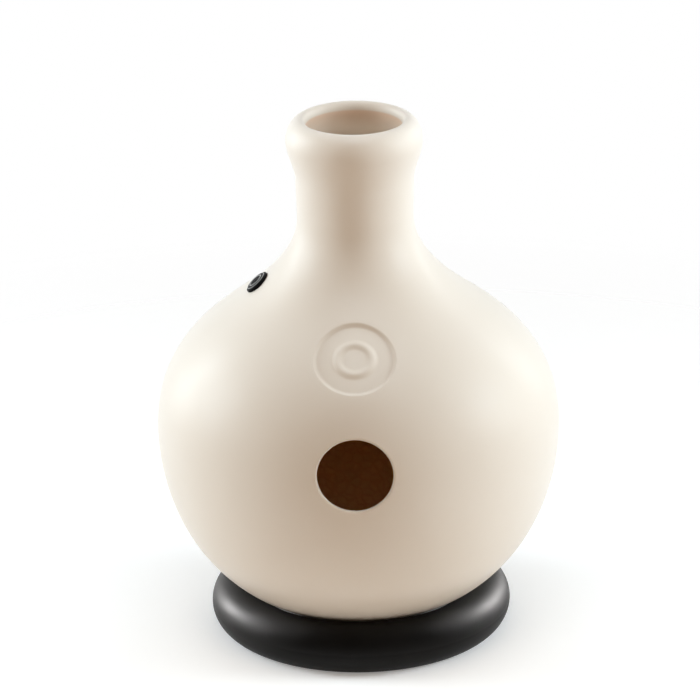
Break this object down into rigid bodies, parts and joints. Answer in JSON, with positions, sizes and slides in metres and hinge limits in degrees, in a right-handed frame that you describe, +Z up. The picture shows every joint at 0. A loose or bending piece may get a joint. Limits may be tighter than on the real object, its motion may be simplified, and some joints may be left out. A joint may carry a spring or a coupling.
{
  "type": "ibo drum",
  "caption": "Round hollow moulded drum with a beaded neck, an oval side hole and a shallow front dish, lifting out of a round ring stand.",
  "frame": {"origin": "on the table under the drum's axis, at the level of the ring stand's underside", "axes": "+Z up along the neck; -Y is the front, with the side hole; -X is the side that carries the badge"},
  "size_m": [0.33, 0.3294, 0.4395],
  "materials": {
    "shell": "ivory gel coat, polished",
    "laminate": "raw glass laminate",
    "badge": "black, semi-gloss",
    "inlay": "dark grey, semi-gloss",
    "stand": "black, satin"
  },
  "bodies": {
    "stand": {"stand_ring": "stand"},
    "drum": {"front_shell": "shell", "rear_shell": "shell", "seam_tape": "laminate", "badge_base": "badge", "badge_inlay": "inlay"}
  },
  "joints": [
    {"name": "lift", "type": "slide", "parent": "stand", "child": "drum", "axis": [0, 0, 1], "range_m": [0, 0.1]}
  ]
}
